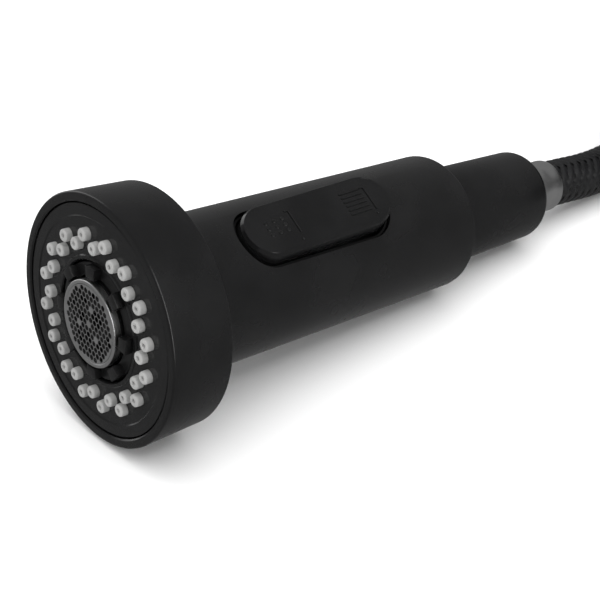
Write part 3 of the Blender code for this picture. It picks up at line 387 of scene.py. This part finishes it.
def smooth_line(points, spacing):
    """Evenly spaced points on the centripetal curve through the given ones, and how far along."""
    p = np.array([tuple(q) for q in points])
    p = np.concatenate([[2 * p[0] - p[1]], p, [2 * p[-1] - p[-2]]])
    fine = []
    for a, b, c, d in zip(p, p[1:], p[2:], p[3:]):
        t1 = np.linalg.norm(b - a) ** 0.5
        t2 = t1 + np.linalg.norm(c - b) ** 0.5
        t3 = t2 + np.linalg.norm(d - c) ** 0.5
        for t in np.linspace(t1, t2, 24, endpoint=False):
            e = a * (t1 - t) / t1 + b * t / t1
            f = b * (t2 - t) / (t2 - t1) + c * (t - t1) / (t2 - t1)
            g = c * (t3 - t) / (t3 - t2) + d * (t - t2) / (t3 - t2)
            h = e * (t2 - t) / t2 + f * t / t2
            i = f * (t3 - t) / (t3 - t1) + g * (t - t1) / (t3 - t1)
            fine.append(h * (t2 - t) / (t2 - t1) + i * (t - t1) / (t2 - t1))
    fine = np.array([*fine, p[-2]])
    travelled = np.concatenate([[0.0], np.cumsum(np.linalg.norm(np.diff(fine, axis=0), axis=1))])
    count = int(round(travelled[-1] / spacing))
    at = np.linspace(0.0, travelled[-1], count + 1)
    line = np.stack([np.interp(at, travelled, fine[:, i]) for i in range(3)], axis=1)
    return line, at


def frames_along(line):
    """Two directions across the line at each of its points, turning as little as they can."""
    along = np.gradient(line, axis=0)
    along /= np.linalg.norm(along, axis=1)[:, None]
    side = np.zeros_like(along)
    side[0] = np.cross(along[0], (0.0, 0.0, 1.0))
    side[0] /= np.linalg.norm(side[0])
    for k in range(1, len(line)):
        kept = side[k - 1] - along[k] * (side[k - 1] @ along[k])
        side[k] = kept / np.linalg.norm(kept)
    return side, np.cross(along, side)


def strip_faces(rows, columns, closed):
    """Quads of a grid of points, row after row; closed joins the last column to the first."""
    r = np.arange(rows - 1)[:, None]
    c = np.arange(columns if closed else columns - 1)[None, :]
    after = (c + 1) % columns
    first, second = r * columns, (r + 1) * columns
    return np.stack([first + c, first + after, second + after, second + c], axis=-1).reshape(-1, 4)


STRANDS = 8
STRAND_PITCH = 3.5 * MM
STRAND_RISE = 0.24 * MM
STRAND_CROWN = 0.42 * MM
ACROSS = np.array([-1.0, -0.55, 0.0, 0.55, 1.0])


def braided_hose():
    """Core tube and two sets of yarns that pass over two and under two of each other."""
    line, at = smooth_line(hose_route(), 0.9 * MM)
    side, other = frames_along(line)
    lead = STRANDS * STRAND_PITCH
    half = math.pi / STRANDS * 0.97
    points, faces, used = [], [], 0

    def around(angle, radius, keep):
        out = np.cos(angle)[..., None] * side[keep, None] + np.sin(angle)[..., None] * other[keep, None]
        return (line[keep, None] + radius[..., None] * out).reshape(-1, 3)

    everywhere = np.arange(len(line))
    for way in (1, -1):
        for k in range(STRANDS):
            turn = 2 * math.pi * (way * at / lead + k / STRANDS)
            wave = math.pi / 2 * (2 * k + way * 2 * at * STRANDS / lead)
            level = HOSE_R - STRAND_CROWN / 2 + way * STRAND_RISE * np.cos(wave)
            angle = turn[:, None] + half * ACROSS[None, :]
            radius = level[:, None] - STRAND_CROWN * ACROSS[None, :] ** 2
            points.append(around(angle, radius, everywhere))
            faces.append(strip_faces(len(line), len(ACROSS), False) + used)
            used += len(line) * len(ACROSS)
    coarse = np.arange(0, len(line), 6)
    ring = np.arange(12) * math.pi / 6
    angle = np.repeat(ring[None, :], len(coarse), axis=0)
    points.append(around(angle, np.full(angle.shape, HOSE_R - 0.75 * MM), coarse))
    faces.append(strip_faces(len(coarse), 12, True) + used)
    points, faces = np.concatenate(points), np.concatenate(faces)
    mesh = bpy.data.meshes.new("braided_hose")
    mesh.from_pydata(points.tolist(), [], faces.tolist())
    mesh.shade_smooth()
    hose = bpy.data.objects.new("braided_hose", mesh)
    bpy.context.scene.collection.objects.link(hose)
    place(hose, Matrix(), "hose", "braid", ["hose_tube", "hose_hank"])
    return hose, line, at[-1]


def hose_ties():
    """Straps round the three layers of each run: tight over the round hoses, with a buckle."""
    made = []
    start = mouth()
    low, high = LAYERS[0], LAYERS[-1]
    stand_up = Matrix.Rotation(math.pi / 2, 4, "X")
    for node, x in (("hose_tie_left", HANK_LEFT_X), ("hose_tie_right", HANK_RIGHT_X)):
        loops = []
        for r in (HOSE_R + 0.25 * MM + TIE_THICK, HOSE_R + 0.25 * MM):
            loop = []
            for level, first in ((high, 0.0), (low, math.pi)):
                for k in range(25):
                    a = first + math.pi * k / 24
                    loop.append((r * math.cos(a), level + r * math.sin(a)))
            loops.append(loop)
        strap = prism(node + "_strap", loops, -TIE_WIDTH / 2, TIE_WIDTH / 2)
        strap.data.transform(stand_up)
        levels = ((0.25, 1.0), (1.75, 1.0), (1.95, 0.93))
        outlines = [(HOSE_R + h * MM, stadium(8.0 * MM * grow, 4.2 * MM * grow)) for h, grow in levels]
        side = 1 if x > 0 else -1
        rings = [[(side * h, a, (low + high) / 2 + b) for a, b in outline] for h, outline in outlines]
        band = join(node + "_band", [strap, stacked(node + "_buckle", rings)])
        at = Matrix.Translation((start.x + x, start.y + HANK_START + TIE_AT, 0.0))
        made.append(place(band, at, "hose", "rubber", [node]))
    return made


def crimped_sleeve(name, start, length):
    """Ferrule with two bands of shallow crimp dents and rounded ends."""
    bore_r, edge = FERRULE_R - 2.5 * MM, 0.45 * MM
    outline = [(bore_r, start), *arc(FERRULE_R - edge, start + edge, edge, -90, 0, 4)]
    outline += [(FERRULE_R, start + length * k / 40) for k in range(2, 39)]
    outline += [*arc(FERRULE_R - edge, start + length - edge, edge, 0, 90, 4), (bore_r, start + length)]

    def dents(turn, s, r):
        band = np.exp(-(((s - start - length * 0.86) / (1.6 * MM)) ** 2))
        band = band + np.exp(-(((s - start - length * 0.6) / (1.6 * MM)) ** 2))
        return 0.22 * MM * band * (0.5 + 0.5 * np.cos(6 * turn + 0.6)) * (r > bore_r + MM)

    return turned(name, outline, 96, dents)


def hose_end():
    """Crimp sleeve and quick-connect spigot on the far end."""
    box_low, box_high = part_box("end_ferrule")
    centre = (Vector(box_low) + Vector(box_high)) / 2
    length = box_high[1] - box_low[1]
    lie = Matrix.Translation((centre.x, box_high[1], centre.z)) @ Matrix.Rotation(math.pi / 2, 4, "X")
    sleeve = place(crimped_sleeve("end_sleeve", 0.0, length), lie, "hose", "satin_metal", ["end_ferrule"])
    spigot_low, spigot_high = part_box("end_spigot")
    start, end = box_high[1] - spigot_high[1], box_high[1] - spigot_low[1]
    flange_r, spigot_r, groove_r, bore_r = 7.0 * MM, 5.5 * MM, 3.8 * MM, 2.6 * MM
    outline = [(bore_r, start), *arc(flange_r - 0.3 * MM, start + 0.3 * MM, 0.3 * MM, -90, 0, 3)]
    outline += [*arc(flange_r - 0.3 * MM, start + 2.7 * MM, 0.3 * MM, 0, 90, 3), (spigot_r, start + 3 * MM)]
    outline += [(spigot_r, start + 7 * MM), (spigot_r - MM, start + 7.3 * MM)]
    outline += [(spigot_r - MM, start + 9.7 * MM), (spigot_r, start + 10 * MM)]
    made = [sleeve]
    for number in (1, 2):
        node = f"end_o_ring_{number}"
        low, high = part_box(node)
        station = box_high[1] - (low[1] + high[1]) / 2
        half, wire_r = 1.1 * MM, 0.9 * MM
        outline += [(spigot_r, station - half), (groove_r, station - half)]
        outline += [(groove_r, station + half), (spigot_r, station + half)]
        turn = [math.pi * k / 6 for k in range(12)]
        ring_r = spigot_r - 0.6 * MM
        section = [(ring_r + wire_r * math.cos(a), station + wire_r * math.sin(a)) for a in turn]
        made.append(place(turned(f"spigot_seal_{number}", section, 64), lie, "hose", "rubber", [node]))
    outline += [*arc(spigot_r - MM, end - MM, MM, 0, 90, 5), (bore_r, end)]
    made.append(place(turned("hose_spigot", outline, 72), lie, "hose", "brass", ["end_spigot"]))
    return made


def ferrule():
    sleeve = crimped_sleeve("crimp_sleeve", FERRULE_START, FERRULE_END - FERRULE_START)
    place(sleeve, TOOL, "hose", "satin_metal", ["hose_ferrule"])


# Bell, handle and collar --------------------------------------------------------------------------


def shell():
    inner_r, handle_in, neck_r = BELL_R - 2.1 * MM, HANDLE_R - 2.15 * MM, 11.0 * MM
    rear_r = BELL_R - 0.4 * MM
    edge, corner, rear_edge = 0.45 * MM, 0.6 * MM, 0.8 * MM
    wall = 2.15 * MM
    outline = [
        (inner_r, FRONT + 0.3 * MM),
        (inner_r + 0.3 * MM, FRONT),
        *arc(BELL_R - edge, FRONT + edge, edge, -90, 0, 5),
        *arc(rear_r - edge, BELL_LENGTH - edge, edge, 0, 90, 5),
        *arc(HANDLE_R + corner, BELL_LENGTH + corner, corner, 270, 180, 5),
        *arc(HANDLE_R - rear_edge, HANDLE_END - rear_edge, rear_edge, 0, 90, 6),
        (neck_r, HANDLE_END),
        (neck_r, HANDLE_END - wall),
        (handle_in, HANDLE_END - wall),
        (handle_in, BELL_LENGTH - wall),
        (inner_r, BELL_LENGTH - wall),
    ]
    body = turned("bell_and_handle", outline, 240)
    wide, long = WINDOW
    levels = (HANDLE_R / 2, HANDLE_R * 1.3)
    opening = [[on_tool(a, b, h) for a, b in stadium(long, wide, PIN.z)] for h in levels]
    cut(body, stacked("window", opening))
    place(body, TOOL, "head", "satin_black", ["outer_shell"])


def collar():
    rear_r, bore_r, mouth_r, rounding = COLLAR_R - 0.6 * MM, 11.0 * MM, FERRULE_R + 0.4 * MM, 2.5 * MM
    outline = [
        (bore_r, COLLAR_FRONT),
        *arc(COLLAR_R - 0.2 * MM, COLLAR_FRONT + 0.2 * MM, 0.2 * MM, -90, 0, 3),
        *arc(rear_r - rounding, COLLAR_END - rounding, rounding, 0, 90, 14),
        *arc(mouth_r + 0.3 * MM, COLLAR_END - 0.3 * MM, 0.3 * MM, 90, 180, 3),
        (mouth_r, COLLAR_END - 2.2 * MM),
        (min(bore_r, rear_r - rounding), COLLAR_END - 2.2 * MM),
        (bore_r, COLLAR_END - 6.6 * MM),
    ]
    place(turned("collar", outline, 200), TOOL, "head", "satin_black", ["rear_collar"])


def rocker_frame():
    """Seal in the handle's window, its top face just below the round handle."""
    low = PIN.x + 0.2 * MM
    outlines = [stadium(long, wide) for wide, long in (SEAL_OUTSIDE, SEAL_INSIDE)]
    seal = prism("seal_frame", outlines, low, HANDLE_R * 1.2)
    stand_up = Matrix(((0, 0, 1, 0), (1, 0, 0, 0), (0, 1, 0, PIN.z), (0, 0, 0, 1)))
    seal.data.transform(stand_up)
    turns = [2 * math.pi * k / 240 for k in range(240)]
    seal_r = HANDLE_R - 1.0 * MM
    ring = [(seal_r * math.cos(a), seal_r * math.sin(a)) for a in turns]
    cut(seal, prism("trim", [ring], BELL_LENGTH, HANDLE_END), "INTERSECT")
    place(seal, TOOL, "head", "rubber", ["rocker_seal"])


# Rocker -------------------------------------------------------------------------------------------


def raised(name, outline, top, height):
    """Low raised mark with a bevelled edge; outline is (across, along)."""
    a0, b0 = (sum(p[i] for p in outline) / len(outline) for i in (0, 1))
    rings = []
    for level, inset in ((-0.1 * MM, 0.0), (height * 0.55, 0.0), (height, 0.1 * MM)):
        ring = []
        for a, b in outline:
            away = math.hypot(a - a0, b - b0)
            share = max(1 - inset / away, 0.1)
            ring.append(on_tool(a0 + (a - a0) * share, b0 + (b - b0) * share, top + level))
        rings.append(ring)
    return stacked(name, rings)


def bar(center, half_across, half_along):
    a, b = center
    corners = ((-1, -1), (1, -1), (1, 1), (-1, 1))
    return [(a + i * half_across, b + j * half_along) for i, j in corners]


def dot(center, radius):
    a, b = center
    turn = [2 * math.pi * k / 16 for k in range(16)]
    return [(a + radius * math.cos(t), b + radius * math.sin(t)) for t in turn]


def rocker():
    """Long pad with a chamfered top and two raised marks: dots for spray, lines for stream."""
    low, high = (ROCKER_LEVELS[0] - PIN.x, ROCKER_LEVELS[1] - PIN.x)
    half_l, half_w = 20.8 * MM, 6.55 * MM
    levels = [(low, 0.0), (high - 1.0 * MM, 0.0)]
    levels += [(high - 0.93 * MM, 0.02 * MM), (high - 0.87 * MM, 0.06 * MM)]
    levels += [(high - 0.16 * MM, 0.42 * MM), (high - 0.05 * MM, 0.5 * MM), (high - 0.01 * MM, 0.58 * MM)]
    levels += [(high, 0.66 * MM)]
    rings = [[on_tool(a, b, h) for a, b in stadium(half_l - i, half_w - i)] for h, i in levels]
    pad = stacked("rocker_pad", rings)
    lip = [(high - 0.16 * MM, 0.34 * MM), (high - 0.04 * MM, 0.4 * MM), (high + 0.02 * MM, 0.46 * MM)]
    lip += [(high + 0.02 * MM, 0.6 * MM), (high - 0.04 * MM, 0.66 * MM)]
    lip_rings = [[on_tool(a, b, h) for a, b in stadium(half_l - i, half_w - i)] for h, i in lip]
    edge = stacked("rocker_edge", lip_rings)
    rows, columns = (38.0, 40.25, 42.5), (-1.45, 0.05, 1.6)
    marks = [dot((-w * MM, (s - 52.5) * MM), 0.5 * MM) for s in rows for w in columns]
    marks += [bar((-0.15 * MM, -7.5 * MM), 3.05 * MM, 0.16 * MM), dot((4.6 * MM, -8.0 * MM), 0.3 * MM)]
    marks += [bar((-3.1 * MM, -8.1 * MM), 0.16 * MM, 0.55 * MM)]
    marks += [bar((-w * MM, 10.6 * MM), 0.2 * MM, 3.1 * MM) for w in (-2.8, -1.65, -0.5, 0.6, 1.78, 2.95)]
    marks += [bar((0.1 * MM, 15.0 * MM), 3.2 * MM, 0.16 * MM), dot((4.3 * MM, 14.6 * MM), 0.3 * MM)]
    marks += [bar((-3.0 * MM, 14.4 * MM), 0.16 * MM, 0.55 * MM)]
    icons = [raised(f"mark_{k}", outline, high, 0.18 * MM) for k, outline in enumerate(marks)]
    place(pad, ROCKER, "rocker", "gloss_black", ["rocker_button"])
    place(edge, ROCKER, "rocker", "gloss_black", ["rocker_button"])
    marks_piece = join("rocker_marks", icons)
    place(marks_piece, ROCKER, "rocker", "black_plastic", ["rocker_button"])


# Spray face ---------------------------------------------------------------------------------------


def spots():
    for radius, degrees in NOZZLES:
        a = math.radians(degrees)
        yield radius * math.cos(a), radius * math.sin(a)


def face():
    """Glossy plate with a shallow dished border, a raised inner lip and a hole at each nozzle."""
    inner = 13.2 * MM
    rear = FACE_STATION + 2.0 * MM
    dish, lip, sink = 22.3 * MM, 14.1 * MM, 0.22 * MM
    outline = [
        (inner, FACE_STATION + 0.25 * MM),
        (inner + 0.25 * MM, FACE_STATION),
        (lip, FACE_STATION),
        (lip + 0.25 * MM, FACE_STATION + sink),
        (dish, FACE_STATION + sink),
        (dish + 0.3 * MM, FACE_STATION),
        (FACE_R - 0.2 * MM, FACE_STATION),
        (FACE_R - 0.06 * MM, FACE_STATION + 0.06 * MM),
        (FACE_R, FACE_STATION + 0.2 * MM),
        (FACE_R, rear),
        (inner, rear),
    ]
    plate = turned("spray_face", outline, 200)
    turns = [2 * math.pi * k / 24 for k in range(24)]
    hole_r = NOZZLE_R + 0.12 * MM
    holes = []
    for number, (x, y) in enumerate(spots()):
        ring = [(x + hole_r * math.cos(a), y + hole_r * math.sin(a)) for a in turns]
        levels = (FACE_STATION - MM, rear + MM)
        holes.append(stacked(f"hole_{number}", [[(a, b, s) for a, b in ring] for s in levels]))
    cut(plate, join("holes", holes), sharp=12)
    place(plate, TOOL, "head", "gloss_black", ["face_plate"])


def nozzles():
    """Silicone mat: a disc behind the face and a soft-edged stub through each hole."""
    disc_front = NOZZLE_REAR - 1.3 * MM
    inner = 14.75 * MM
    section = [(inner, disc_front), (MAT_R, disc_front), (MAT_R, NOZZLE_REAR), (inner, NOZZLE_REAR)]
    pieces = [turned("mat", section, 96)]
    tip, edge, bore, centre = NOZZLE_TIP, 0.42 * MM, 0.42 * MM, 0.0001 * MM
    outline = [
        (centre, tip + 1.6 * MM),
        (bore * 0.8, tip + 1.6 * MM),
        (bore, tip + 0.25 * MM),
        (bore + 0.14 * MM, tip + 0.03 * MM),
        (NOZZLE_R - edge - 0.06 * MM, tip),
        *arc(NOZZLE_R - edge - 0.03 * MM, tip + edge, edge, -80, 0, 4),
        (NOZZLE_R, disc_front + 0.4 * MM),
        (centre, disc_front + 0.4 * MM),
    ]
    for number, (x, y) in enumerate(spots()):
        stub = turned(f"stub_{number}", outline, 24)
        stub.data.transform(Matrix.Translation((x, y, 0.0)))
        pieces.append(stub)
    place(join("nozzles", pieces), TOOL, "head", "grey_silicone", ["nozzle_mat"])


def housing():
    """Castellated ring round the aerator, with eight key lugs."""
    bore, rim = AERATOR_R + 0.4 * MM, HOUSING_R
    floor = FACE_STATION + 0.4 * MM
    outline = [
        (bore, floor + 0.15 * MM),
        (bore + 0.15 * MM, floor),
        (rim - 0.2 * MM, floor),
        (rim, floor + 0.2 * MM),
        (rim, floor + 2.9 * MM),
        (rim - 0.4 * MM, floor + 3.2 * MM),
        (rim - 0.4 * MM, HOUSING_REAR),
        (bore, HOUSING_REAR),
    ]
    pieces = [turned("housing_ring", outline, 160)]
    low_r, high_r, width = bore + 0.35 * MM, rim - 0.1 * MM, 3.3 * MM
    top = HOUSING_TOP
    levels = ((floor + 0.5 * MM, 0.0), (top + 0.12 * MM, 0.0), (top + 0.03 * MM, 0.04 * MM), (top, 0.12 * MM))
    for k in range(8):
        rings = []
        for station, inset in levels:
            ring = []
            edges = ((high_r - inset, 1.0, (-3, 4, 1)), (low_r + inset, 0.85, (3, -4, -1)))
            for radius, taper, steps in edges:
                for j in range(*steps):
                    t = (width / 2 - inset) / radius * taper * j / 3
                    ring.append((radius * math.cos(t), radius * math.sin(t), station))
            rings.append(ring)
        lug = stacked(f"lug_{k}", rings)
        lug.data.transform(Matrix.Rotation(math.radians(11.5 + 45 * k), 4, "Z"))
        pieces.append(lug)
    place(join("castellated_ring", pieces), TOOL, "head", "black_plastic", ["aerator_housing"])


def aerator():
    """Satin ring with rounded edges and a honeycomb disc of fine hexagonal cells."""
    inner, edge = AERATOR_R - 0.9 * MM, 0.3 * MM
    outline = [
        *arc(inner + edge, AERATOR_FRONT + edge, edge, 180, 270, 4),
        *arc(AERATOR_R - edge, AERATOR_FRONT + edge, edge, 270, 360, 5),
        (AERATOR_R, AERATOR_REAR),
        (inner, AERATOR_REAR),
    ]
    place(turned("aerator_cap", outline, 144), TOOL, "head", "satin_metal", ["aerator_ring"])

    pitch, web, rim_r, depth = 1.4 * MM, 0.2 * MM, inner - 0.03 * MM, 0.12 * MM
    cell = (pitch - web) / math.sqrt(3)
    filled = {(0, 0), (3, -2), (-1, 3), (-2, -1)}
    count = int(rim_r / pitch) + 2
    corners = [math.pi / 6 + math.pi / 3 * k for k in range(6)]
    holes = []
    for row in range(-count, count + 1):
        for column in range(-2 * count, 2 * count + 1):
            x, y = pitch * (column + row / 2), pitch * row * math.sqrt(3) / 2
            if math.hypot(x, y) > rim_r - web - cell / 3 or (row, column) in filled:
                continue
            hole = []
            for a in corners:
                corner = Vector((x + cell * math.cos(a), y + cell * math.sin(a)))
                hole.append(tuple(corner * min(1.0, (rim_r - web) / corner.length)))
            holes.append(hole)
    turns = [2 * math.pi * k / 96 for k in range(96)]
    rim = [(rim_r * math.cos(a), rim_r * math.sin(a)) for a in turns]
    comb = prism("honeycomb", [rim, *holes], SCREEN_FRONT, SCREEN_FRONT + depth)
    place(comb, TOOL, "head", "satin_metal", ["aerator_screen"])


def inner_nodes():
    """CAD nodes that stay get the same finishes as their material slots."""
    slots = {part["node"]: part["material_slot"] for part in frame["record"]["subparts"]}
    for name, node in frame["nodes"].items():
        node.data.materials.clear()
        node.data.materials.append(FINISHES[slots[name]])


# Studio -------------------------------------------------------------------------------------------

ROOM_BRIGHT = 0.2
# Each soft box: name, place, size across, size along, watts, and whether it shows in reflections.
SOFT_BOXES = (
    ("overhead", (0.0, 0.1, 1.4), 2.6, 2.6, 46.0, False),
    ("front", (0.1, -0.9, 0.5), 0.9, 0.9, 3.0, False),
    ("right", (1.1, 0.0, 0.45), 0.4, 1.6, 8.0, True),
    ("left", (-1.2, 0.0, 0.45), 0.8, 1.6, 4.0, True),
)


def studio():
    """White paper floor, an even pale room and four soft boxes that face the head."""
    world = bpy.data.worlds.new("studio")
    bpy.context.scene.world = world
    world.use_nodes = True
    background = world.node_tree.nodes["Background"]
    background.inputs["Color"].default_value = (0.92, 0.92, 0.92, 1.0)
    background.inputs["Strength"].default_value = ROOM_BRIGHT

    half = 3.0
    corners = [(-half, -half, 0), (half, -half, 0), (half, half, 0), (-half, half, 0)]
    floor = from_faces("floor", corners, [(0, 1, 2, 3)])
    paper = bpy.data.materials.new("floor_paper")
    paper.use_nodes = True
    shader = paper.node_tree.nodes["Principled BSDF"]
    shader.inputs["Base Color"].default_value = (0.92, 0.92, 0.92, 1.0)
    shader.inputs["Roughness"].default_value = 0.9
    shader.inputs["Specular IOR Level"].default_value = 0.0
    floor.data.materials.append(paper)
    floor.visible_glossy = False

    for name, place_at, across, along, watts, in_reflections in SOFT_BOXES:
        lamp = bpy.data.objects.new(name, bpy.data.lights.new(name, "AREA"))
        lamp.data.shape = "RECTANGLE"
        lamp.data.size, lamp.data.size_y = across, along
        lamp.data.energy = watts
        lamp.location = place_at
        lamp.rotation_euler = Vector(place_at).to_track_quat("Z", "Y").to_euler()
        lamp.visible_glossy = in_reflections
        bpy.context.scene.collection.objects.link(lamp)
    bpy.context.scene.view_settings.view_transform = "Standard"


make_camera()
hose, hose_line, hose_length = braided_hose()
on_hose = hose_ties() + hose_end()
ferrule()
shell()
collar()
rocker_frame()
rocker()
face()
nozzles()
housing()
aerator()
inner_nodes()
studio()
